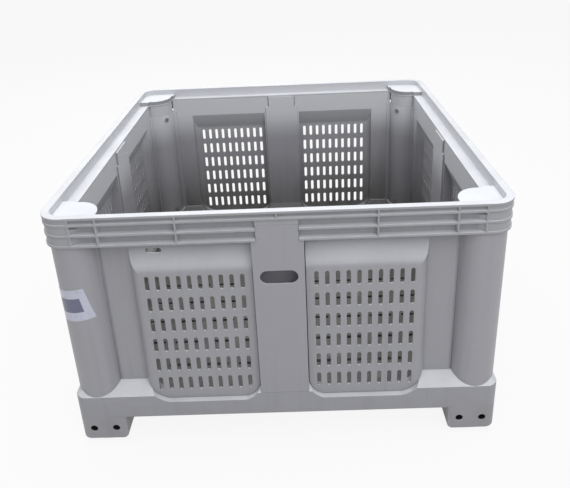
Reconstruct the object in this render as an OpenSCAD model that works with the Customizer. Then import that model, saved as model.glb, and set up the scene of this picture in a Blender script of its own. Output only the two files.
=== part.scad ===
// Vented plastic fruit bin on four corner feet, for forklift handling and stacking.
// Front is -Y, +Z is up, and the origin lies on the floor under the middle of the bin.

/* [Overall] */
// Outer width of the rim, left to right
bin_w = 1162; // [1060:1:1300]
// Outer depth of the rim, front to back
bin_d = 1162; // [1060:1:1300]
// Height from the floor to the top of the lip
bin_h = 712; // [660:1:860]
// Thickness of the moulded walls
wall_t = 5; // [4:0.5:6]
// Gap between pieces that slide together
fit_gap = 0.3; // [0.2:0.05:0.5]

/* [Rim] */
// Radius of the rim's outer corners
rim_r = 58; // [48:1:64]
// Width of the lip's flat top
lip_w = 19.5; // [17:0.5:24]
// Height of the lip above the inner ledge
lip_h = 32; // [30:1:40]
// Thickness of the ribs, the lip's edge and the ledge
rib_t = 6; // [4:0.5:8]
// Distance from the top of the lip to the middle of the first rib
rib_first = 20; // [18:0.5:24]
// Distance between the middles of neighbouring ribs
rib_pitch = 29; // [24:0.5:34]
// Depth of the hollows between the lower ribs
rib_depth = 14.5; // [12:0.5:18]
// Depth of the groove above the first rib
lip_groove = 8; // [4:0.5:12]
// Depth of the hollows round the corners
rib_corner = 2.5; // [2:0.5:4.5]
// Thickness of the upright gussets between the ribs
gusset_t = 4; // [3:0.5:6]
// Distance of the gusset nearest a corner from that corner
gusset_near = 77; // [65:1:90]
// Distance of the next gusset from the corner
gusset_far = 145; // [130:1:160]

/* [Stacking seats] */
// Height of the seats above the inner ledge
seat_rise = 14; // [8:1:20]
// Radius of the hollow curve between a seat and the ledge
seat_fillet = 8; // [5:1:20]
// Radius of the plug under each seat
seat_plug_r = 20; // [12:1:30]

/* [Corner posts] */
// Outer radius of the round posts
post_r = 62; // [56:0.5:62]
// Distance of a post's axis from the outer faces of the rim
post_in = 67; // [67:0.5:72]
// Length of the wings behind the panels, beyond the round of a post
wing_len = 15; // [10:0.5:20]
// Depth to which a panel's tongue goes into the round of a post
tongue = 1.5; // [1:0.25:2]
// Length of the spigots on which a post stands and hangs
spigot_len = 40; // [30:1:60]

/* [Centre posts] */
// Width of the centre posts below the rim
centre_w = 130; // [120:1:150]
// Width of the gap in the ribs in which a centre post ends
centre_top_w = 106; // [96:1:112]
// Distance of the centre post's face from the outer face of the rim
centre_in = 4; // [2:0.5:6]
// Depth of the grooves in the sides of a centre post
centre_groove = 12; // [8:0.5:16]
// Width of the hand slot
hand_w = 96; // [80:1:104]
// Height of the hand slot
hand_h = 38; // [30:1:44]
// Distance from the top of the lip to the middle of the hand slot
hand_down = 185; // [160:1:220]

/* [Vent panels] */
// Distance of a panel's plain margin from the outer face of the rim
wall_in = 46; // [43:0.5:48]
// Distance of a panel's vented face from the outer face of the rim
face_in = 18; // [14:0.5:22]
// Width of the plain margin beside the vented face
margin_w = 59; // [45:1:70]
// Gap beside a panel's edges in their grooves
edge_gap = 2; // [1:0.25:3]
// Distance from the top of the lip to the foot of the sloping top
slope_down = 168; // [155:1:180]
// Height of the sloping top
slope_h = 62; // [50:1:70]
// Radius between the sloping top and the vented face
slope_round = 30; // [24:1:32]
// Radius of the vented face's lower edge
edge_round = 6; // [4:0.5:12]
// Radius of the vented face's lower corner beside the margin
corner_round = 80; // [60:1:90]
// Radius of the vented face's lower corner beside the centre post
corner_round_inner = 52; // [40:1:58]
// Width of a vent slot
slot_w = 11; // [6:0.5:14]
// Height of a vent slot
slot_h = 43; // [34:1:50]
// Distance between neighbouring columns of slots
slot_pitch_x = 27; // [22:0.5:32]
// Distance between neighbouring rows of slots
slot_pitch_z = 63.8; // [56:0.2:70]
// Distance of the first column from the edge beside the centre post
slot_side = 26.5; // [20:0.5:32]
// Distance of the first row's middle below the sloping top
slot_down = 33.5; // [28:0.5:42]
// Width of the ticket slot
ticket_w = 40; // [30:1:50]
// Height of the ticket slot
ticket_h = 12; // [8:0.5:14]
// Distance from the top of the lip to the middle of the ticket slot
ticket_down = 118; // [114:1:130]
// Distance of the ticket slot from the edge of the vented face
ticket_side = 63; // [55:1:80]

/* [Base] */
// Height of the skirt's lower edge above the floor
foot_h = 92; // [86:1:110]
// Height of the skirt below the ledge
skirt_h = 70; // [66:1:80]
// Distance of the skirt's face from the outer face of the rim
skirt_in = 4; // [2:0.5:5]
// Radius of the skirt's corners
base_r = 28; // [20:1:36]
// Thickness of the base's walls
base_t = 6; // [5:0.5:8]
// Rise of the sloping ledge from the skirt to the panels
ledge_rise = 25; // [20:1:32]
// Depth of the dips in the ledge under the vented faces
dip = 22; // [14:1:26]
// Width of the ledge left bare around a vented face
dip_margin = 1.5; // [1:0.25:4]
// Radius of the bosses that carry the posts
boss_r = 70; // [68:0.5:74]
// Height of the deck's underside above the skirt's lower edge
deck_up = 26; // [24:1:32]
// Thickness of the deck
deck_t = 8; // [6:0.5:12]
// Depth of the ribs under the deck
deck_rib_h = 20; // [12:1:22]
// Width of the shelf that carries the deck
shelf_w = 25; // [18:1:32]
// Length of a drain slot in the deck
drain_l = 74; // [50:1:80]
// Width of a drain slot
drain_w = 12; // [8:0.5:16]
// Distance between neighbouring drain slots
drain_pitch = 104; // [96:1:130]

/* [Feet] */
// Width of a foot, the same both ways
foot_w = 133; // [120:1:150]
// Distance of a foot's faces from the outer face of the rim
foot_in = 4; // [3:0.5:8]
// Height of a foot above the heads of its screws
foot_web = 26; // [20:1:32]
// Radius of the plug on top of a foot
plug_r = 16; // [12:0.5:20]
// Radius of a foot's lower inner edges
foot_round = 16; // [8:1:24]
// Gap between a stacked foot and the lip round it
nest_gap = 2; // [1:0.5:4]
// Radius of the pin holes in the feet
pin_r = 10; // [8:0.5:12]
// Distance between the two pin holes of a foot
pin_pitch = 62; // [54:1:70]
// Distance of the outer pin hole from the foot's outer side
pin_side = 39; // [30:1:42]
// Height of the pin holes above the floor
pin_z = 54; // [48:1:60]
// Depth of the pin holes
pin_depth = 40; // [25:1:45]

/* [Screws] */
// Radius of the screws' shanks
screw_r = 4; // [3:0.5:5]
// Radius of the screws' heads
head_r = 8; // [6:0.5:9]
// Height of the screws' heads
head_h = 5; // [3:0.5:6]
// Gap round the screws' shanks and heads
screw_gap = 0.25; // [0.2:0.05:0.4]
// Length of a post screw past the spigot's wall
screw_past = 4; // [2:0.5:8]
// Length of a foot screw in the boss above the foot
foot_screw_bite = 24; // [16:1:30]

/* [Ticket label] */
// Height of the label
label_h = 92; // [70:1:120]
// Width of the label, seen straight on
label_w = 88; // [60:1:100]
// Height of the label's middle above the floor
label_z = 459; // [340:1:490]
// Angle by which the label is turned from the front towards the side
label_side = 19; // [0:1:45]
// Angle by which the label is askew
label_tilt = 9; // [0:1:15]
// Thickness of the label
label_t = 0.5; // [0.4:0.1:0.8]

/* [Hidden] */
$fn = 48;
CORNERS = ["front_left", "front_right", "back_right", "back_left"];
SIDES = ["front", "right", "back", "left"];
SIDE_ENDS = [["left", "right"], ["front", "back"], ["right", "left"], ["back", "front"]];

// overshoot of a cut past the face that it opens
cut = 1;

// colours of the mouldings, the label and the screws
bin_grey = [0.57, 0.58, 0.60];
label_white = [0.92, 0.92, 0.93];
steel = [0.62, 0.63, 0.65];

// heights, from the floor up
skirt_z = foot_h + skirt_h;
land_z = skirt_z + ledge_rise;
deck_z = foot_h + deck_up;
ledge_z = bin_h - lip_h;
ledge_low = ledge_z - rib_t;
rim_z = bin_h - rib_first - 2 * rib_pitch - rib_t / 2;
slope_z = bin_h - slope_down;
nest_h = lip_h - seat_rise + cut;

// distances inwards from the rim's outer face
rear_in = wall_in + 2 * wall_t + fit_gap;
ledge_in = wall_in + wall_t;
ledge_run = wall_in - skirt_in;
face_rise = wall_in - face_in;
slope_angle = atan(face_rise / slope_h);
slope_r = min(slope_round, face_rise + wall_t - 2);

// floor of the dip in the ledge, on which the vented face stands
face_z = skirt_z - dip;

// spigots inside the posts, and their screws
spigot_r = post_r - wall_t - fit_gap;
bore_r = spigot_r - wall_t;
screw_low_z = land_z + spigot_len / 2;
screw_high_z = rim_z - spigot_len / 2;
screw_len = 2 * wall_t + screw_past;
spot_depth = post_r - sqrt(post_r * post_r - head_r * head_r) + screw_gap;

// half width of a post where the panels' faces meet it
post_edge = sqrt(post_r * post_r - pow(post_in - wall_in, 2));

// plugs of the feet in the bosses, and the feet's screws beside them
foot_axis = post_in - foot_in;
plug_bore_r = plug_r + fit_gap;
foot_head_z = foot_h - foot_web;
foot_screw_at = plug_bore_r + head_r + wall_t - 1;

// length of a side along its wall, and its outer face's distance from the middle
function side_len(i) = i % 2 == 0 ? bin_w : bin_d;
function side_out(i) = (i % 2 == 0 ? bin_d : bin_w) / 2;

// a point at a distance inwards from both outer faces of a corner
function corner_xy(i, inset) = [
    (i == 0 || i == 3 ? -1 : 1) * (bin_w / 2 - inset),
    (i < 2 ? -1 : 1) * (bin_d / 2 - inset)
];

// a step of one in a direction of the plan
function heading(a) = [cos(a), sin(a)];

// ends of a vent panel along its wall, for the panel at the low end of a side
function panel_start(i) = -side_len(i) / 2 + post_in + post_r + edge_gap;
function face_start(i) = -side_len(i) / 2 + post_in + post_r + wing_len + margin_w;
face_end = -centre_w / 2 - edge_gap;
panel_end = -centre_w / 2 + centre_groove - edge_gap;

// a box given along a wall, outwards from the middle of the bin, and upwards
module slab(x0, x1, d0, d1, z0, z1) {
    translate([x0, -d1, z0]) cube([x1 - x0, d1 - d0, z1 - z0]);
}

// an outline drawn outwards and upwards, drawn out along a wall
module along(x0, x1) {
    translate([x0, 0, 0]) rotate([90, 0, 90]) linear_extrude(x1 - x0) mirror([1, 0]) children();
}

// an outline drawn along the wall and upwards, drawn out from one depth to another
module through(d0, d1) {
    translate([0, -d0, 0]) rotate([90, 0, 0]) linear_extrude(d1 - d0) children();
}

// an obround, with its long way along the first axis
module obround(length, width) {
    square([length - width, width], center = true);
    for (s = [-1, 1]) translate([s * (length - width) / 2, 0]) circle(width / 2);
}

// the bin's plan, set in from the rim's outer faces
module plan(inset, r) {
    w = bin_w - 2 * inset;
    d = bin_d - 2 * inset;
    square([w - 2 * r, d], center = true);
    square([w, d - 2 * r], center = true);
    for (x = [-1, 1], y = [-1, 1]) translate([x * (w / 2 - r), y * (d / 2 - r)]) circle(r);
}

// a band of the rim between two distances from its outer faces
module rim_band(outer, inner, z0, z1) {
    translate([0, 0, z0]) linear_extrude(z1 - z0) difference() {
        plan(outer, max(rim_r - outer, 1));
        plan(inner, max(rim_r - inner, 1));
    }
}

// everything under the sloping ledge and the land on which the panels stand
module below_ledge(drop) {
    intersection() {
        along(-bin_w, bin_w) ledge_side(bin_d / 2 - skirt_in, drop);
        rotate([0, 0, 90]) along(-bin_d, bin_d) ledge_side(bin_w / 2 - skirt_in, drop);
    }
}

module ledge_side(half, drop) {
    polygon([
        [-half, 0], [half, 0], [half, skirt_z - drop], [half - ledge_run, land_z - drop],
        [ledge_run - half, land_z - drop], [-half, skirt_z - drop]
    ]);
}

// section of the space over the level floor of the dip, lowered by g
module over_dip(out, g) {
    square_from(out - rear_in - cut, face_z - g, out - skirt_in + cut, bin_h);
}

// front view of a vented face, grown by g: round lower corners, open at the top
module face_front(x0, g) {
    x1 = face_end;
    square_from(x0 - g, face_z + corner_round, x1 + g, bin_h);
    square_from(x0 + corner_round, face_z - g, x1 - corner_round_inner, face_z + corner_round);
    square_from(x1 - corner_round_inner, face_z + corner_round_inner, x1 + g, face_z + corner_round);
    translate([x0 + corner_round, face_z + corner_round]) circle(corner_round + g);
    translate([x1 - corner_round_inner, face_z + corner_round_inner]) circle(corner_round_inner + g);
}

module square_from(x0, y0, x1, y1) {
    translate([x0, y0]) square([x1 - x0, y1 - y0]);
}

// side view of a vented face, grown by g: sloping top, upright face, rounded lower edge
module face_side(out, g) {
    face = out - face_in;
    back = out - wall_in - wall_t + (g < 0 ? -cut : 0);
    round_z = slope_z - slope_r * tan(slope_angle / 2);
    tangent = (slope_r + g) * tan(slope_angle / 2);
    corner_z = slope_z + g * tan(slope_angle / 2);
    top_z = corner_z + (face + g - back) / tan(slope_angle);
    low_r = max(edge_round + g, cut);
    low_z = face_z - g - cut;
    intersection() {
        union() {
            polygon([
                [back, low_z], [face + g - low_r, low_z], [face + g - low_r, low_z + low_r],
                [face + g, low_z + low_r], [face + g, round_z], [face - slope_r, round_z],
                [face + g - tangent * sin(slope_angle), corner_z + tangent * cos(slope_angle)], [back, top_z]
            ]);
            translate([face - slope_r, round_z]) circle(slope_r + g);
            translate([face + g - low_r, low_z + low_r]) circle(low_r);
        }
        square_from(back, 0, out, bin_h);
    }
}

// plan of a vented face, grown by g: quarter round beside the margin, square beside the post
module face_plan(x0, out, g) {
    back = out - wall_in - wall_t + (g < 0 ? -cut : 0);
    intersection() {
        union() {
            square_from(x0 + face_rise, -(out - face_in + g), face_end + g, -back);
            square_from(x0 - g, -(out - wall_in), x0 + face_rise, -back);
            translate([x0 + face_rise, -(out - wall_in)]) circle(face_rise + g);
        }
        square_from(x0 - face_rise, -out, face_end + face_rise, -back);
    }
}

// the swelling that holds the vents, solid; shrunk by a wall it is its hollow
module swelling(i, g) {
    out = side_out(i);
    x0 = face_start(i);
    intersection() {
        linear_extrude(bin_h) face_plan(x0, out, g);
        along(x0 - cut, face_end + cut) face_side(out, g);
        through(out - rear_in - cut, out) face_front(x0, g);
    }
}

// the grid of vent slots, filling the flat of the face
module vents(i) {
    flat_w = face_end - face_start(i) - face_rise;
    columns = floor((flat_w - slot_side - slot_w) / slot_pitch_x);
    top = slope_z - slot_down;
    rows = floor((top - face_z - slot_h) / slot_pitch_z);
    for (c = [0:columns], r = [0:rows])
        translate([face_end - slot_side - c * slot_pitch_x, top - r * slot_pitch_z])
            rotate(90) obround(slot_h, slot_w);
}

// one vent panel at the low end of side i, with or without the ticket slot
module vent_panel(i, ticket) {
    out = side_out(i);
    color(bin_grey) difference() {
        union() {
            slab(panel_start(i), panel_end, out - wall_in - wall_t, out - wall_in,
                land_z, ledge_low - fit_gap);
            slab(panel_start(i) - edge_gap - post_r + post_edge - tongue, panel_start(i) + cut,
                out - wall_in - wall_t, out - wall_in - wall_t / 2, land_z, rim_z - fit_gap);
            swelling(i, 0);
        }
        swelling(i, -wall_t);
        through(out - rear_in, out) vents(i);
        if (ticket)
            through(out - rear_in, out)
                translate([face_start(i) + ticket_side, bin_h - ticket_down]) obround(ticket_w, ticket_h);
    }
}

// one centre post: a hollow upright with a hand slot, grooved for the panels
module centre_post(i) {
    out = side_out(i);
    face = out - centre_in;
    front = out - wall_in + fit_gap;
    half = centre_w / 2;
    top_half = centre_top_w / 2 - fit_gap;
    neck = half - centre_groove;
    join_z = rim_z - fit_gap;
    color(bin_grey) difference() {
        union() {
            slab(-half, half, front, face, skirt_z, join_z);
            slab(-neck, neck, out - rear_in, front, skirt_z, join_z);
            slab(-half, half, out - rear_in, out - rear_in + wall_t, skirt_z, join_z);
            slab(-top_half, top_half, out - rear_in, face, join_z, ledge_low - fit_gap);
        }
        slab(wall_t - half, half - wall_t, front + wall_t, face - wall_t, 0, join_z - wall_t);
        slab(wall_t - top_half, top_half - wall_t, front + wall_t, face - wall_t,
            join_z - wall_t - cut, ledge_low - fit_gap - wall_t);
        through(face - wall_t - cut, face + cut) translate([0, bin_h - hand_down]) obround(hand_w, hand_h);
        rotate([0, 0, -90 * i]) below_ledge(0);
    }
}

// plan of a corner post about its axis: a grooved tube with a wing behind each panel
module post_plan() {
    front = wall_in + wall_t / 2 - fit_gap - post_in;
    wing = rear_in - wall_t - post_in;
    groove = post_edge - tongue - fit_gap;
    difference() {
        union() {
            circle(post_r);
            square_from(0, wing, post_r + wing_len, wing + wall_t);
            square_from(wing, 0, wing + wall_t, post_r + wing_len);
        }
        circle(post_r - wall_t);
        square_from(groove, front, post_r + cut, wing);
        square_from(front, groove, wing, post_r + cut);
    }
}

module corner_post(i) {
    color(bin_grey) difference() {
        translate(corner_xy(i, post_in)) rotate(90 * i) difference() {
            translate([0, 0, skirt_z]) linear_extrude(rim_z - skirt_z) post_plan();
            for (z = [screw_low_z, screw_high_z]) screw_way(z);
        }
        below_ledge(0);
    }
}

// the way of a post screw, from inside the bin towards the post's axis
module screw_way(z) {
    translate([0, 0, z]) rotate([0, 90, 45]) {
        cylinder(r = screw_r + screw_gap, h = post_r + cut);
        translate([0, 0, post_r - spot_depth]) cylinder(r = head_r + screw_gap, h = wing_len);
    }
}

// a post screw in its way
module post_screw(z) {
    translate([0, 0, z]) rotate([0, 90, 45]) translate([0, 0, post_r - spot_depth]) {
        cylinder(r = head_r, h = head_h);
        translate([0, 0, -screw_len]) cylinder(r = screw_r, h = screw_len);
    }
}

module post_screws() {
    color(steel) for (i = [0:3], z = [screw_low_z, screw_high_z])
        translate(corner_xy(i, post_in)) rotate(90 * i) post_screw(z);
}

// plan of the pad in a corner of the rim, about the post's axis, set in from the lip
module seat_plan(inset) {
    lip = lip_w - post_in + inset;
    edge = ledge_in - post_in;
    r = post_r + cut;
    span = r + seat_fillet;
    arm = sqrt(span * span - pow(seat_fillet + edge, 2));
    turn = atan2(edge + seat_fillet, arm);
    bend = rim_r - lip_w - inset;
    corner = [for (k = [0:6]) [lip + bend, lip + bend] + bend * heading(180 + 15 * k)];
    hollow = [for (k = [0:6])
        [arm, edge + seat_fillet] + seat_fillet * heading(-90 - (90 - turn) * k / 6)];
    nose = [for (k = [1:15]) r * heading(turn + (90 - 2 * turn) * k / 16)];
    other = [for (k = [6:-1:0]) [hollow[k].y, hollow[k].x]];
    polygon(concat(corner, [[arm, lip]], hollow, nose, other, [[lip, arm]]));
}

module stacking_seat(i) {
    color(bin_grey) translate(corner_xy(i, post_in)) rotate(90 * i) {
        translate([0, 0, ledge_z]) linear_extrude(seat_rise) seat_plan(fit_gap);
        translate([0, 0, ledge_low]) cylinder(r = seat_plug_r, h = rib_t + cut);
    }
}

// the upright gussets of one side: through all the ribs, and one at the middle of the lip
module gussets(i) {
    out = side_out(i);
    far = side_len(i) / 2 - gusset_far;
    middle = (far + centre_top_w / 2) / 2;
    for (x = [side_len(i) / 2 - gusset_near, far, middle], s = [-1, 1])
        slab(s * x - gusset_t / 2, s * x + gusset_t / 2, out - lip_w, out + 2 * cut, rim_z, bin_h);
    slab(-gusset_t / 2, gusset_t / 2, out - lip_w, out + 2 * cut, bin_h - rib_first, bin_h);
}

// the hollows between the ribs, from the groove under the lip's edge down
module rib_hollows() {
    half = rib_t / 2;
    rim_band(-cut, lip_groove, bin_h - rib_first + half, bin_h - rib_t);
    for (k = [0, 1]) {
        z = bin_h - rib_first - k * rib_pitch;
        rim_band(-cut, rib_depth, z - rib_pitch + half, z - half);
    }
}

// the corners of the rim, where the hollows are shallow
module corner_fill() {
    translate([0, 0, rim_z]) linear_extrude(bin_h - rim_z) intersection() {
        plan(rib_corner, rim_r - rib_corner);
        for (i = [0:3]) translate(corner_xy(i, 0)) rotate(90 * i) square(gusset_near);
    }
}

// the gap in the lower ribs where a centre post ends
module centre_gap(i) {
    out = side_out(i);
    half = centre_top_w / 2;
    slab(-half, half, out - rear_in, out + cut, rim_z - cut, ledge_low);
}

// the filling between that gap and the first rib
module centre_filling(i) {
    out = side_out(i);
    half = centre_top_w / 2;
    slab(-half, half, out - rib_depth - cut, out - centre_in, ledge_low, bin_h - rib_first);
}

module rim() {
    color(bin_grey) difference() {
        union() {
            difference() {
                rim_band(0, lip_w, rim_z, bin_h);
                difference() {
                    rib_hollows();
                    corner_fill();
                    for (i = [0:3]) rotate(90 * i) gussets(i);
                }
                for (i = [0:3]) rotate(90 * i) centre_gap(i);
            }
            for (i = [0:3]) rotate(90 * i) centre_filling(i);
            translate([0, 0, ledge_low]) linear_extrude(rib_t) {
                difference() {
                    plan(lip_w - wall_t, rim_r - lip_w + wall_t);
                    plan(ledge_in, 1);
                }
                for (i = [0:3]) translate(corner_xy(i, post_in)) rotate(90 * i) seat_plan(-wall_t);
            }
            for (i = [0:3]) translate(concat(corner_xy(i, post_in), rim_z)) {
                cylinder(r = post_r, h = ledge_z - rim_z - cut);
                translate([0, 0, -spigot_len]) cylinder(r = spigot_r, h = spigot_len + cut);
            }
        }
        for (i = [0:3]) translate(concat(corner_xy(i, post_in), 0)) rotate(90 * i) {
            translate([0, 0, rim_z - spigot_len - cut])
                cylinder(r = bore_r, h = ledge_low - rim_z + spigot_len + cut);
            translate([0, 0, ledge_low - cut]) cylinder(r = seat_plug_r + fit_gap, h = rib_t + 2 * cut);
            screw_way(screw_high_z);
        }
    }
}

// one dip in the ledge, grown by g: wide outside the panel, and a close fit under it
module ledge_dip(i, g) {
    out = side_out(i);
    x0 = face_start(i);
    intersection() {
        along(x0 - 2 * corner_round, face_end + corner_round) over_dip(out, g);
        union() {
            through(out - wall_in - g, out) face_front(x0, dip_margin + g);
            through(out - rear_in - cut, out - wall_in + cut) face_front(x0, fit_gap + g);
        }
    }
}

module ledge_dips(g) {
    for (i = [0:3], m = [0, 1]) rotate(90 * i) mirror([m, 0, 0]) ledge_dip(i, g);
}

module base_frame() {
    curb = rear_in - base_t;
    color(bin_grey) difference() {
        union() {
            difference() {
                intersection() {
                    translate([0, 0, foot_h]) linear_extrude(bin_h) plan(skirt_in, base_r);
                    below_ledge(0);
                }
                difference() {
                    intersection() {
                        translate([0, 0, foot_h - cut]) linear_extrude(bin_h) difference() {
                            plan(skirt_in + base_t, base_r - base_t);
                            plan(curb, 1);
                        }
                        below_ledge(base_t * 1.2);
                    }
                    ledge_dips(base_t);
                }
                translate([0, 0, foot_h - cut]) linear_extrude(bin_h) plan(rear_in, 1);
                ledge_dips(0);
            }
            translate([0, 0, deck_z - base_t]) linear_extrude(base_t) difference() {
                plan(rear_in - cut, 1);
                plan(rear_in + shelf_w, 1);
            }
            intersection() {
                for (i = [0:3]) translate(concat(corner_xy(i, post_in), foot_h))
                    cylinder(r = boss_r, h = skirt_h + ledge_rise);
                translate([0, 0, foot_h]) linear_extrude(bin_h) plan(skirt_in, base_r);
                below_ledge(0);
            }
            for (i = [0:3]) translate(concat(corner_xy(i, post_in), foot_h))
                cylinder(r = spigot_r, h = land_z - foot_h + spigot_len);
        }
        for (i = [0:3]) translate(concat(corner_xy(i, post_in), 0)) rotate(90 * i) {
            translate([0, 0, foot_h - cut]) cylinder(r = plug_bore_r, h = bin_h);
            translate([0, 0, foot_h + foot_screw_bite + base_t]) cylinder(r = bore_r, h = bin_h);
            screw_way(screw_low_z);
            for (a = [0, 90]) rotate(a) translate([foot_screw_at, 0, foot_h - cut])
                cylinder(r = screw_r + screw_gap, h = foot_screw_bite + 2 * cut);
        }
    }
}

// the slotted deck, ribbed underneath, lying on the base frame's shelf
module floor_deck() {
    half_w = bin_w / 2 - rear_in - edge_gap;
    half_d = bin_d / 2 - rear_in - edge_gap;
    rib_w = half_w - shelf_w - edge_gap;
    rib_d = half_d - shelf_w - edge_gap;
    across = floor((half_w - drain_pitch / 2) / drain_pitch);
    deep = floor((half_d - drain_pitch / 2) / drain_pitch);
    color(bin_grey) difference() {
        union() {
            translate([-half_w, -half_d, deck_z]) cube([2 * half_w, 2 * half_d, deck_t]);
            for (k = [-across:across - 1])
                translate([(k + 0.5) * drain_pitch - wall_t / 2, -rib_d, deck_z - deck_rib_h])
                    cube([wall_t, 2 * rib_d, deck_rib_h + cut]);
            for (k = [-deep:deep - 1])
                translate([-rib_w, (k + 0.5) * drain_pitch - wall_t / 2, deck_z - deck_rib_h])
                    cube([2 * rib_w, wall_t, deck_rib_h + cut]);
        }
        for (i = [0:3]) translate(concat(corner_xy(i, post_in), 0))
            cylinder(r = boss_r + edge_gap, h = bin_h);
        translate([0, 0, deck_z - cut]) linear_extrude(deck_t + 2 * cut)
            for (x = [-across:across], y = [-deep:deep])
                if (abs(x) < across || abs(y) < deep)
                    translate([x, y] * drain_pitch) obround(drain_l, drain_w);
    }
}

// one corner foot: a block with a stepped sole that drops inside the lip of the bin below
module foot(i) {
    step = lip_w + nest_gap - foot_in;
    sole = foot_w - foot_round - nest_gap;
    color(bin_grey) translate(corner_xy(i, foot_in)) rotate(90 * i) difference() {
        union() {
            translate([0, 0, nest_h]) linear_extrude(foot_h - nest_h) foot_plan(0, foot_w, base_r);
            linear_extrude(nest_h + cut) foot_plan(step, sole, rim_r - lip_w - nest_gap);
            translate([foot_axis, foot_axis, foot_h - cut]) cylinder(r = plug_r, h = foot_screw_bite + cut);
        }
        for (m = [0, 1]) mirror([m, -m, 0])
            translate([foot_w - foot_round, foot_w + cut, nest_h + foot_round])
            rotate([90, 0, 0]) linear_extrude(foot_w + 2 * cut) difference() {
                square_from(0, -foot_round - cut, foot_round + cut, 0);
                circle(foot_round);
            }
        pin_holes(i);
        translate([foot_axis, foot_axis, 0]) for (a = [0, 90]) rotate(a) translate([foot_screw_at, 0, 0]) {
            cylinder(r = screw_r + screw_gap, h = foot_h + cut);
            translate([0, 0, -cut]) cylinder(r = head_r + 1, h = foot_head_z + cut);
        }
    }
}

// plan of a foot about its outer corner, set in from its two outer faces
module foot_plan(inset, far, r) {
    square_from(inset + r, inset, far, far);
    square_from(inset, inset + r, far, far);
    translate([inset + r, inset + r]) circle(r);
}

// the blind pin holes in a foot's front or back face
module pin_holes(i) {
    for (k = [0, 1]) {
        x = pin_side + k * pin_pitch;
        if (i % 2 == 0)
            translate([x, -cut, pin_z]) rotate([-90, 0, 0]) cylinder(r = pin_r, h = pin_depth + cut);
        else
            translate([-cut, x, pin_z]) rotate([0, 90, 0]) cylinder(r = pin_r, h = pin_depth + cut);
    }
}

module foot_screws() {
    color(steel) for (i = [0:3], a = [0, 90])
        translate(concat(corner_xy(i, post_in), foot_head_z)) rotate(90 * i + a)
            translate([foot_screw_at, 0, 0]) {
                translate([0, 0, -head_h]) cylinder(r = head_r, h = head_h);
                cylinder(r = screw_r, h = foot_h - foot_head_z + foot_screw_bite);
            }
}

// the sticker round the front of the front left post, a little askew
module ticket_label() {
    inner = post_r + label_t / 4;
    place = concat(corner_xy(0, post_in), label_z);
    color(label_white) translate(place) rotate(-90 - label_side) intersection() {
        translate([0, 0, -label_h]) linear_extrude(2 * label_h) difference() {
            circle(inner + label_t);
            circle(inner);
        }
        rotate([label_tilt, 0, 0]) translate([0, -label_w / 2, -label_h / 2])
            cube([2 * post_r, label_w, label_h]);
    }
}

base_frame();
floor_deck();
for (i = [0:3]) foot(i);
for (i = [0:3]) corner_post(i);
for (i = [0:3]) rotate(90 * i) centre_post(i);
for (i = [0:3], m = [0, 1])
    rotate(90 * i) mirror([m, 0, 0]) vent_panel(i, i + m == 0);
rim();
for (i = [0:3]) stacking_seat(i);
ticket_label();
post_screws();
foot_screws();
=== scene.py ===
import math

import bpy
from mathutils import Matrix, Vector

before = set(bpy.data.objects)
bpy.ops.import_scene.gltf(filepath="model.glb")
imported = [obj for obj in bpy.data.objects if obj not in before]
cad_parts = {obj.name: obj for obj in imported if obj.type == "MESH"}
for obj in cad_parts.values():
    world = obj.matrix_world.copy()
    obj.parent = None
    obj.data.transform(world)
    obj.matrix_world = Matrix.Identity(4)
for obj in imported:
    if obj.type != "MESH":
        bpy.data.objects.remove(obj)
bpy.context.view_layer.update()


# Base frame: the skirt with its sloping ledge, a thick grey polyethylene moulding that carries the posts.
# It stands low and takes the knocks of the forks, so it is the most scuffed and soiled of the mouldings.
# Every grey moulding shares the skin, the softened edges and the field wear that are made here; the wear
# also paints light on tops and upper inner faces.

def add_group(name, inputs, outputs):
    """an empty shader group with the named sockets, and its two end nodes"""
    tree = bpy.data.node_groups.new(name, "ShaderNodeTree")
    for label, kind, value in inputs:
        tree.interface.new_socket(label, in_out="INPUT", socket_type=kind).default_value = value
    for label, kind in outputs:
        tree.interface.new_socket(label, in_out="OUTPUT", socket_type=kind)
    return tree, tree.nodes.new("NodeGroupInput").outputs, tree.nodes.new("NodeGroupOutput").inputs


def feed(tree, socket, value):
    """sets a socket to a value, or links another node's output to it"""
    if isinstance(value, bpy.types.NodeSocket):
        tree.links.new(value, socket)
    else:
        socket.default_value = value


def math_node(tree, operation, a, b=0.0, clamp=False):
    """one step of arithmetic on values or other nodes' outputs"""
    n = tree.nodes.new("ShaderNodeMath")
    n.operation = operation
    n.use_clamp = clamp
    feed(tree, n.inputs[0], a)
    feed(tree, n.inputs[1], b)
    return n.outputs[0]


def product(tree, first, *others):
    """several values or outputs multiplied"""
    for other in others:
        first = math_node(tree, "MULTIPLY", first, other)
    return first


def scaled(tree, base, amount, value, clamp=False):
    """a base plus an amount of a value"""
    return math_node(tree, "ADD", base, math_node(tree, "MULTIPLY", value, amount), clamp)


def ramp_node(tree, value, low, high):
    """a smooth rise from 0 at low to 1 at high"""
    n = tree.nodes.new("ShaderNodeMapRange")
    n.interpolation_type = "SMOOTHSTEP"
    feed(tree, n.inputs["Value"], value)
    n.inputs["From Min"].default_value = low
    n.inputs["From Max"].default_value = high
    return n.outputs[0]


def noise_node(tree, place, scale, detail=2.0, distortion=0.0, stretch=(1, 1, 1)):
    """noise in the bin's own space, stretched along its axes"""
    fit = tree.nodes.new("ShaderNodeMapping")
    fit.inputs["Scale"].default_value = stretch
    tree.links.new(place, fit.inputs["Vector"])
    n = tree.nodes.new("ShaderNodeTexNoise")
    n.inputs["Scale"].default_value = scale
    n.inputs["Detail"].default_value = detail
    n.inputs["Distortion"].default_value = distortion
    tree.links.new(fit.outputs[0], n.inputs["Vector"])
    return n.outputs[0]


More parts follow.
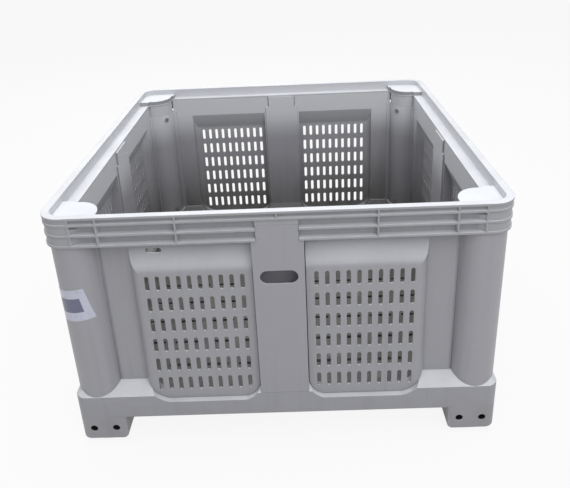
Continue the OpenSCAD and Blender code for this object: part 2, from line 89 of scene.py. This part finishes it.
def dot_node(tree, a, b):
    """how far two directions agree"""
    n = tree.nodes.new("ShaderNodeVectorMath")
    n.operation = "DOT_PRODUCT"
    tree.links.new(a, n.inputs[0])
    tree.links.new(b, n.inputs[1])
    return n.outputs["Value"]


def split_axes(tree, vector):
    """the three outputs X, Y and Z of a vector"""
    n = tree.nodes.new("ShaderNodeSeparateXYZ")
    tree.links.new(vector, n.inputs[0])
    return n.outputs


def bin_space(tree):
    """places on the surface in the bin's own metres"""
    return tree.nodes.new("ShaderNodeTexCoord").outputs["Object"]


def mix_colour(tree, share, a, b):
    """colour a, turned into colour b by a share"""
    n = tree.nodes.new("ShaderNodeMix")
    n.data_type = "RGBA"
    feed(tree, n.inputs[0], share)
    feed(tree, n.inputs[6], a)
    feed(tree, n.inputs[7], b)
    return n.outputs[2]


plain_grey = (0.3, 0.31, 0.33, 1)

skin, given, result = add_group(
    "moulded skin",
    (("Tone", "NodeSocketColor", plain_grey), ("Mottle", "NodeSocketFloat", 0.06),
     ("Gloss", "NodeSocketFloat", 0.42)),
    (("Color", "NodeSocketColor"), ("Roughness", "NodeSocketFloat"), ("Height", "NodeSocketFloat")))
place = bin_space(skin)
# clouds in the melt, and the lines along which it flowed up the mould
cloud = noise_node(skin, place, scale=4.0, detail=4.0, distortion=0.8)
flow = noise_node(skin, place, scale=28.0, detail=3.0, distortion=1.2, stretch=(1, 1, 0.35))
swing = math_node(skin, "ADD", product(skin, cloud, 1.3), product(skin, flow, 0.7))
shade = skin.nodes.new("ShaderNodeHueSaturation")
feed(skin, shade.inputs["Color"], given["Tone"])
lighter = math_node(skin, "SUBTRACT", swing, 1.0)
feed(skin, shade.inputs["Value"], scaled(skin, 1.0, given["Mottle"], lighter))
feed(skin, result["Color"], shade.outputs[0])
feed(skin, result["Roughness"], scaled(skin, given["Gloss"], 0.22, math_node(skin, "SUBTRACT", flow, 0.5)))
# the mould's fine etching over a slow ripple
pebble = noise_node(skin, place, scale=420.0)
ripple = noise_node(skin, place, scale=36.0, distortion=0.5)
feed(skin, result["Height"], scaled(skin, ripple, 0.5, pebble))

edges, given, result = add_group(
    "softened edges", (("Radius", "NodeSocketFloat", 0.002),), (("Normal", "NodeSocketVector"),))
turned = edges.nodes.new("ShaderNodeBevel")
turned.samples = 6
feed(edges, turned.inputs["Radius"], given["Radius"])
feed(edges, result["Normal"], turned.outputs[0])

wear_and_light, given, result = add_group(
    "field wear",
    (("Color", "NodeSocketColor", plain_grey), ("Roughness", "NodeSocketFloat", 0.45),
     ("Scuff", "NodeSocketFloat", 0.5), ("Rub", "NodeSocketFloat", 0.5),
     ("Streak", "NodeSocketFloat", 0.3), ("Dust", "NodeSocketFloat", 0.5),
     ("Shelter", "NodeSocketFloat", 0.0), ("Soil", "NodeSocketFloat", 0.3),
     ("Grime", "NodeSocketFloat", 0.5), ("Bleach", "NodeSocketFloat", 0.5)),
    (("Color", "NodeSocketColor"), ("Roughness", "NodeSocketFloat"), ("Height", "NodeSocketFloat")))
place = bin_space(wear_and_light)
spot = split_axes(wear_and_light, place)
facing = wear_and_light.nodes.new("ShaderNodeNewGeometry").outputs["Normal"]
upward = split_axes(wear_and_light, facing)["Z"]

# dried water runs down the upright faces
dried_run = (0.16, 0.16, 0.155, 1)
runs = ramp_node(wear_and_light, noise_node(wear_and_light, place, scale=1.0, detail=3.0, stretch=(46, 46, 1.3)), 0.5, 0.74)
upright = ramp_node(wear_and_light, math_node(wear_and_light, "ABSOLUTE", upward), 0.75, 0.2)
runs = product(wear_and_light, runs, upright, given["Streak"])
colour = mix_colour(wear_and_light, product(wear_and_light, runs, 0.5), given["Color"], dried_run)

# level scrapes from other bins and the forks, in patches, whitened as this plastic does
whitened = (0.56, 0.57, 0.59, 1)
lines = ramp_node(
    wear_and_light, noise_node(wear_and_light, place, scale=2.6, detail=4.0, distortion=0.35, stretch=(5, 5, 150)), 0.6, 0.68)
patches = ramp_node(wear_and_light, noise_node(wear_and_light, place, scale=3.4, detail=3.0, stretch=(1, 1, 2)), 0.5, 0.68)
nicks = ramp_node(wear_and_light, noise_node(wear_and_light, place, scale=95.0, detail=4.0, distortion=1.4), 0.66, 0.74)
scrapes = product(wear_and_light, math_node(wear_and_light, "MAXIMUM", lines, nicks), patches, given["Scuff"])

# edges rubbed pale, more in some places than others
rounded = wear_and_light.nodes.new("ShaderNodeBevel")
rounded.samples = 6
rounded.inputs["Radius"].default_value = 0.004
rubbed = ramp_node(wear_and_light, dot_node(wear_and_light, rounded.outputs[0], facing), 0.985, 0.8)
uneven = ramp_node(wear_and_light, noise_node(wear_and_light, place, scale=22.0, detail=4.0), 0.36, 0.66)
rubbed = product(wear_and_light, rubbed, uneven, given["Rub"])
pale = math_node(wear_and_light, "MAXIMUM", product(wear_and_light, scrapes, 0.55), product(wear_and_light, rubbed, 0.6))
colour = mix_colour(wear_and_light, pale, colour, whitened)

# pale dust and painted top light on what faces the open sky, outside the walls or near the rim, from the
# height of the shelter up
dust_and_top_light_tone = (0.66, 0.675, 0.71, 1)
wall_inside, wall_outside = 0.529, 0.54
rim_from, rim_to = 0.6, 0.62
facing_up = ramp_node(wear_and_light, upward, 0.1, 0.7)
from_middle = math_node(wear_and_light, "MAXIMUM", math_node(wear_and_light, "ABSOLUTE", spot["X"]),
                        math_node(wear_and_light, "ABSOLUTE", spot["Y"]))
in_the_open = math_node(wear_and_light, "MAXIMUM", ramp_node(wear_and_light, from_middle, wall_inside, wall_outside),
                        ramp_node(wear_and_light, spot["Z"], rim_from, rim_to))
above_shelter = math_node(wear_and_light, "SUBTRACT", spot["Z"], given["Shelter"])
unsheltered = math_node(wear_and_light, "MULTIPLY", above_shelter, 40.0, True)
cover = scaled(wear_and_light, 0.55, 0.7, noise_node(wear_and_light, place, scale=9.0, detail=5.0))
dust_and_top_light = product(wear_and_light, facing_up, in_the_open, unsheltered, cover)
dust_and_top_light = math_node(wear_and_light, "MULTIPLY", dust_and_top_light, given["Dust"], True)
colour = mix_colour(wear_and_light, dust_and_top_light, colour, dust_and_top_light_tone)

# soil splashed up from the ground
soil_tone = (0.2, 0.18, 0.155, 1)
splash_height = 0.24
low = ramp_node(wear_and_light, spot["Z"], splash_height, 0.0)
splash = ramp_node(wear_and_light, noise_node(wear_and_light, place, scale=17.0, detail=6.0, distortion=0.6), 0.4, 0.7)
soiled = product(wear_and_light, low, splash, given["Soil"])
colour = mix_colour(wear_and_light, soiled, colour, soil_tone)

# the faces that look into the bin are darkened in blotches, more towards the floor
inner_dark_tone = (0.06, 0.056, 0.05, 1)
inner_dark_top, inner_dark_whole = 0.5, 0.14
outward = wear_and_light.nodes.new("ShaderNodeCombineXYZ")
wear_and_light.links.new(spot["X"], outward.inputs["X"])
wear_and_light.links.new(spot["Y"], outward.inputs["Y"])
inner = ramp_node(wear_and_light, dot_node(wear_and_light, facing, outward.outputs[0]), -0.1, -0.4)
blotches = scaled(
    wear_and_light, 0.55, 0.8, noise_node(wear_and_light, place, scale=11.0, detail=5.0, distortion=0.5, stretch=(1, 1, 0.5)))
film = product(wear_and_light, inner, ramp_node(wear_and_light, spot["Z"], inner_dark_top, inner_dark_whole), blotches)
film = math_node(wear_and_light, "MULTIPLY", film, given["Grime"], True)
colour = mix_colour(wear_and_light, film, colour, inner_dark_tone)

# the upper part of those faces, above the load, is lightened with painted light
inner_light_tone = (0.6, 0.61, 0.64, 1)
inner_light_from, inner_light_whole = 0.48, 0.62
inner_light = product(wear_and_light, inner, ramp_node(wear_and_light, spot["Z"], inner_light_from, inner_light_whole), given["Bleach"])
colour = mix_colour(wear_and_light, inner_light, colour, inner_light_tone)

feed(wear_and_light, result["Color"], colour)
dull = math_node(wear_and_light, "MAXIMUM", math_node(wear_and_light, "MAXIMUM", dust_and_top_light, soiled),
                 math_node(wear_and_light, "MAXIMUM", pale, film))
feed(wear_and_light, result["Roughness"], scaled(wear_and_light, given["Roughness"], 0.3, dull, True))
feed(wear_and_light, result["Height"], product(wear_and_light, scrapes, -0.8))


def moulded_plastic(name, tone, gloss, mottle, edge, **amounts):
    """a grey polyethylene finish: skin, softened edges and the given amounts of field wear and painted
    light
    """
    finish = bpy.data.materials.new(name)
    finish.use_nodes = True
    tree = finish.node_tree
    shader = tree.nodes["Principled BSDF"]
    body = tree.nodes.new("ShaderNodeGroup")
    body.node_tree = skin
    body.inputs["Tone"].default_value = (*tone, 1)
    body.inputs["Mottle"].default_value = mottle
    body.inputs["Gloss"].default_value = gloss
    wear_and_light_node = tree.nodes.new("ShaderNodeGroup")
    wear_and_light_node.node_tree = wear_and_light
    tree.links.new(body.outputs["Color"], wear_and_light_node.inputs["Color"])
    tree.links.new(body.outputs["Roughness"], wear_and_light_node.inputs["Roughness"])
    for label, value in amounts.items():
        wear_and_light_node.inputs[label].default_value = value
    soft = tree.nodes.new("ShaderNodeGroup")
    soft.node_tree = edges
    soft.inputs["Radius"].default_value = edge
    relief = tree.nodes.new("ShaderNodeBump")
    relief.inputs["Strength"].default_value = 0.25
    relief.inputs["Distance"].default_value = 0.0008
    height = math_node(tree, "ADD", body.outputs["Height"], wear_and_light_node.outputs["Height"])
    tree.links.new(height, relief.inputs["Height"])
    tree.links.new(soft.outputs["Normal"], relief.inputs["Normal"])
    tree.links.new(wear_and_light_node.outputs["Color"], shader.inputs["Base Color"])
    tree.links.new(wear_and_light_node.outputs["Roughness"], shader.inputs["Roughness"])
    tree.links.new(relief.outputs[0], shader.inputs["Normal"])
    return finish


def dress(node, finish):
    """gives a CAD node's one surface its finish"""
    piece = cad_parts[node]
    piece.data.materials.clear()
    piece.data.materials.append(finish)


dress("base_frame", moulded_plastic(
    "skirt plastic", tone=(0.29, 0.29, 0.315), gloss=0.44, mottle=0.07, edge=0.003,
    Scuff=0.35, Rub=0.5, Streak=0.2, Dust=0.8, Soil=0.15, Grime=0.4, Bleach=0.0))


# Floor deck: the slotted, ribbed floor, moulded in the same plastic and dropped on the base frame's shelf.
# The load and the soil that comes with it lie on it, so it is duller and more stained than the walls; its
# near-black tone is painted shade.

dress("floor_deck", moulded_plastic(
    "deck plastic", tone=(0.055, 0.052, 0.049), gloss=0.6, mottle=0.3, edge=0.002,
    Scuff=0.3, Rub=0.3, Streak=0.0, Dust=0.0, Soil=0.5, Grime=0.3, Bleach=0.0))


# Feet: four solid corner blocks screwed up into the base, with a pair of pin holes each.
# They stand on the orchard floor and are the dirtiest pieces, with rounded, rubbed corners.

corners = ("front_left", "front_right", "back_right", "back_left")
foot_finish = moulded_plastic(
    "foot plastic", tone=(0.29, 0.29, 0.313), gloss=0.46, mottle=0.08, edge=0.004,
    Scuff=0.4, Rub=0.6, Streak=0.2, Dust=0.4, Soil=0.2, Grime=0.2, Bleach=0.0)

# the pin holes are near black, painted shade of their depth with some packed soil; each pair level and the
# same distance from the bin's middle
pair_middle, half_pitch, hole_height, hole_radius = 0.507, 0.031, 0.054, 0.01
face_at = 0.577
pin_hole_shade = (0.012, 0.011, 0.012, 1)
tree = foot_finish.node_tree
spot = split_axes(tree, bin_space(tree))
across = math_node(tree, "SUBTRACT", math_node(tree, "ABSOLUTE", spot["X"]), pair_middle)
across = math_node(tree, "SUBTRACT", math_node(tree, "ABSOLUTE", across), half_pitch)
rise = math_node(tree, "SUBTRACT", spot["Z"], hole_height)
radius = math_node(tree, "SQRT", math_node(
    tree, "ADD", math_node(tree, "POWER", across, 2.0), math_node(tree, "POWER", rise, 2.0)))
in_hole = ramp_node(tree, radius, hole_radius + 0.0006, hole_radius + 0.0001)
behind_face = ramp_node(tree, math_node(tree, "ABSOLUTE", spot["Y"]), face_at - 0.0002, face_at - 0.0035)
shader = tree.nodes["Principled BSDF"]
bare = shader.inputs["Base Color"].links[0].from_socket
shaded_holes = mix_colour(tree, product(tree, in_hole, behind_face), bare, pin_hole_shade)
tree.links.new(shaded_holes, shader.inputs["Base Color"])
for corner in corners:
    dress("foot_" + corner, foot_finish)


# Corner posts: round hollow columns, grooved for the panels' edges, with a wing behind each panel.
# They are extruded smooth, and stand between the base's spigots and the rim's.

post_finish = moulded_plastic(
    "column plastic", tone=(0.306, 0.304, 0.329), gloss=0.4, mottle=0.05, edge=0.002,
    Scuff=0.1, Rub=0.35, Streak=0.22, Dust=0.4, Soil=0.12, Grime=0.6, Bleach=0.9)
for corner in corners:
    dress("corner_post_" + corner, post_finish)


# Centre posts: hollow uprights with a hand slot, grooved for the panels and let into the rim's ribs.
# The smooth face is handled at every lift, so it is a little polished.

centre_finish = moulded_plastic(
    "upright plastic", tone=(0.3, 0.298, 0.326), gloss=0.38, mottle=0.05, edge=0.003,
    Scuff=0.12, Rub=0.4, Streak=0.2, Dust=0.4, Soil=0.12, Grime=0.7, Bleach=0.9)
for side in ("front", "right", "back", "left"):
    dress("centre_post_" + side, centre_finish)


# Vent panels: eight thin injection mouldings with a swollen, slotted face and a smooth sloping top.
# Their edges sit in the grooves of the posts, and their feet stand in the dips of the ledge.

panel_finish = moulded_plastic(
    "panel plastic", tone=(0.304, 0.303, 0.326), gloss=0.42, mottle=0.06, edge=0.002,
    Scuff=0.1, Rub=0.3, Streak=0.3, Dust=0.85, Shelter=0.535, Soil=0.12, Grime=0.85, Bleach=0.9)
for panel in ("front_left", "front_right", "right_front", "right_back",
              "back_right", "back_left", "left_back", "left_front"):
    dress("vent_panel_" + panel, panel_finish)


# Rim: the ribbed lip with its inner ledge, one stiff moulding that ties the posts' heads together.
# Its top is lightened by dust and painted top light, its inner face by painted light, and it is rubbed pale
# by the bins that are stacked on it.

dress("rim", moulded_plastic(
    "rim plastic", tone=(0.315, 0.316, 0.335), gloss=0.42, mottle=0.06, edge=0.0025,
    Scuff=0.25, Rub=0.7, Streak=0.25, Dust=0.7, Soil=0.0, Grime=0.2, Bleach=0.75))


# Stacking seats: raised pads plugged into the rim's corners, on which the feet of the next bin stand.
# The feet grind them, so their flat tops are scratched.

seat_finish = moulded_plastic(
    "seat plastic", tone=(0.31, 0.312, 0.33), gloss=0.44, mottle=0.08, edge=0.002,
    Scuff=0.6, Rub=0.6, Streak=0.0, Dust=0.8, Soil=0.0, Grime=0.0, Bleach=0.0)
for corner in corners:
    dress("stacking_seat_" + corner, seat_finish)


# Ticket label: a white film sticker wrapped round the front left column, with a grey-blue block on it.
# It is stuck on askew, and a little creased and grubby.

label_middle = (-0.514, -0.514, 0.459)
label_turn = (math.radians(9), 0, math.radians(-109))
block_left, block_right, block_half_height, block_edge = -0.035, 0.0285, 0.021, 0.001
film_white, film_smudged = (0.5, 0.5, 0.6, 1), (0.34, 0.34, 0.4, 1)
block_blue, block_smudged = (0.13, 0.135, 0.21, 1), (0.3, 0.31, 0.38, 1)
label_finish = bpy.data.materials.new("label film")
label_finish.use_nodes = True
tree = label_finish.node_tree
shader = tree.nodes["Principled BSDF"]
place = bin_space(tree)
flat = tree.nodes.new("ShaderNodeMapping")
flat.vector_type = "TEXTURE"
flat.inputs["Location"].default_value = label_middle
flat.inputs["Rotation"].default_value = label_turn
tree.links.new(place, flat.inputs["Vector"])
spot = split_axes(tree, flat.outputs[0])
off_middle = math_node(tree, "ABSOLUTE", spot["Z"])
block = product(tree, ramp_node(tree, spot["Y"], block_left, block_left + block_edge),
                ramp_node(tree, spot["Y"], block_right, block_right - block_edge),
                ramp_node(tree, off_middle, block_half_height, block_half_height - block_edge))
smudge = ramp_node(tree, noise_node(tree, place, scale=60.0, detail=5.0, distortion=0.8), 0.5, 0.75)
paper = mix_colour(tree, product(tree, smudge, 0.4), film_white, film_smudged)
ink = mix_colour(tree, product(tree, smudge, 0.3), block_blue, block_smudged)
tree.links.new(mix_colour(tree, block, paper, ink), shader.inputs["Base Color"])
tree.links.new(scaled(tree, 0.34, 0.25, smudge), shader.inputs["Roughness"])
crease = tree.nodes.new("ShaderNodeBump")
crease.inputs["Strength"].default_value = 0.2
crease.inputs["Distance"].default_value = 0.001
wrinkles = noise_node(tree, place, scale=55.0, detail=3.0, distortion=1.5, stretch=(1, 1, 0.4))
tree.links.new(wrinkles, crease.inputs["Height"])
tree.links.new(crease.outputs[0], shader.inputs["Normal"])
dress("ticket_label", label_finish)


# Screws: zinc-plated machine screws, one set through the posts into the spigots, one up through the feet.
# The plating is dull, with brown where it has gone.

dark_zinc, light_zinc, rust_brown = (0.42, 0.43, 0.45, 1), (0.66, 0.67, 0.68, 1), (0.2, 0.1, 0.05, 1)
zinc = bpy.data.materials.new("dull zinc")
zinc.use_nodes = True
tree = zinc.node_tree
shader = tree.nodes["Principled BSDF"]
shader.inputs["Metallic"].default_value = 1.0
place = bin_space(tree)
plating = mix_colour(tree, noise_node(tree, place, scale=260.0, detail=3.0), dark_zinc, light_zinc)
rust = ramp_node(tree, noise_node(tree, place, scale=90.0, detail=5.0, distortion=0.7), 0.56, 0.7)
tree.links.new(mix_colour(tree, rust, plating, rust_brown), shader.inputs["Base Color"])
tree.links.new(scaled(tree, 0.32, 0.45, rust), shader.inputs["Roughness"])
for screws in ("post_screws", "foot_screws"):
    dress(screws, zinc)


# Studio: a pale floor that runs out of sight, a broad soft lamp overhead, and one each in front and behind.
# The background is white to the camera and to reflections, and a plain grey sky to everything else.

def seen_directly(tree):
    """1 for what the camera, a reflection or a clear material looks at, 0 for other light"""
    ray = tree.nodes.new("ShaderNodeLightPath").outputs
    return math_node(tree, "MAXIMUM", ray["Is Camera Ray"], math_node(
        tree, "MAXIMUM", ray["Is Glossy Ray"], ray["Is Transmission Ray"]))


def mix_shaders(tree, share, plain, shown, end):
    """joins two shaders by a share, and links them to the tree's end node"""
    both = tree.nodes.new("ShaderNodeMixShader")
    feed(tree, both.inputs[0], share)
    tree.links.new(plain.outputs[0], both.inputs[1])
    tree.links.new(shown.outputs[0], both.inputs[2])
    tree.links.new(both.outputs[0], tree.nodes[end].inputs["Surface"])


bpy.context.scene.view_settings.view_transform = "Standard"
bpy.ops.mesh.primitive_plane_add(size=30, location=(0, 0, -0.0005))
ground = bpy.context.object
ground.name = "studio_floor"
chalk = bpy.data.materials.new("studio floor")
chalk.use_nodes = True
tree = chalk.node_tree
matt = tree.nodes["Principled BSDF"]
matt.inputs["Base Color"].default_value = (0.6, 0.6, 0.6, 1)
matt.inputs["Roughness"].default_value = 0.9
white = tree.nodes.new("ShaderNodeEmission")
# a tenth of the floor's own light is kept, and all of it under the bin, so that the bin's shadow shows
shadow_back, shadow_inner, shadow_outer = 0.05, 0.47, 0.519
spot = split_axes(tree, bin_space(tree))
behind = math_node(tree, "SUBTRACT", spot["Y"], shadow_back)
around = math_node(tree, "MAXIMUM", math_node(tree, "ABSOLUTE", spot["X"]),
                   math_node(tree, "ABSOLUTE", behind))
clear_floor = ramp_node(tree, around, shadow_inner, shadow_outer)
mix_shaders(tree, product(tree, seen_directly(tree), clear_floor, 0.9), matt, white, "Material Output")
ground.data.materials.append(chalk)

for name, stand, aim, size, power in (
        ("overhead lamp", (0.1, 0.0, 3.5), (0, 0, 0), 3.0, 60),
        ("front lamp", (0.9, -2.6, 3.0), (0, 0, 0.4), 2.4, 58),
        ("rear lamp", (-0.9, 2.6, 3.0), (0, 0, 0.4), 2.4, 56)):
    lamp = bpy.data.objects.new(name, bpy.data.lights.new(name, "AREA"))
    lamp.data.size = size
    lamp.data.energy = power
    lamp.location = stand
    lamp.rotation_euler = (Vector(aim) - Vector(stand)).to_track_quat("-Z", "Y").to_euler()
    bpy.context.collection.objects.link(lamp)

sky = bpy.data.worlds.new("studio sky")
sky.use_nodes = True
bpy.context.scene.world = sky
tree = sky.node_tree
dim = tree.nodes["Background"]
dim.inputs["Color"].default_value = (0.97, 0.985, 1.0, 1)
dim.inputs["Strength"].default_value = 0.55
bright = tree.nodes.new("ShaderNodeBackground")
bright.inputs["Color"].default_value = (1, 1, 1, 1)
mix_shaders(tree, seen_directly(tree), dim, bright, "World Output")

# the camera stands to the right of the middle, looks down at the bin, and leans a little
camera_stand = (0.0538, -1.8436, 1.3597)
yaw, pitch, roll = (math.radians(a) for a in (-1.127, 21.273, -2.589))
ahead = Vector((math.sin(yaw) * math.cos(pitch), math.cos(yaw) * math.cos(pitch), -math.sin(pitch)))
right = Vector((math.cos(yaw), -math.sin(yaw), 0))
above = right.cross(ahead)
across = math.cos(roll) * right + math.sin(roll) * above
above = math.cos(roll) * above - math.sin(roll) * right
camera = bpy.data.objects.new("camera", bpy.data.cameras.new("camera"))
camera.data.sensor_fit = "HORIZONTAL"
camera.data.sensor_width = 36
camera.data.lens = 37.63
camera.data.shift_y = -0.165
aimed = Matrix((across, above, -ahead)).transposed().to_4x4()
camera.matrix_world = Matrix.Translation(camera_stand) @ aimed
bpy.context.collection.objects.link(camera)
bpy.context.scene.camera = camera
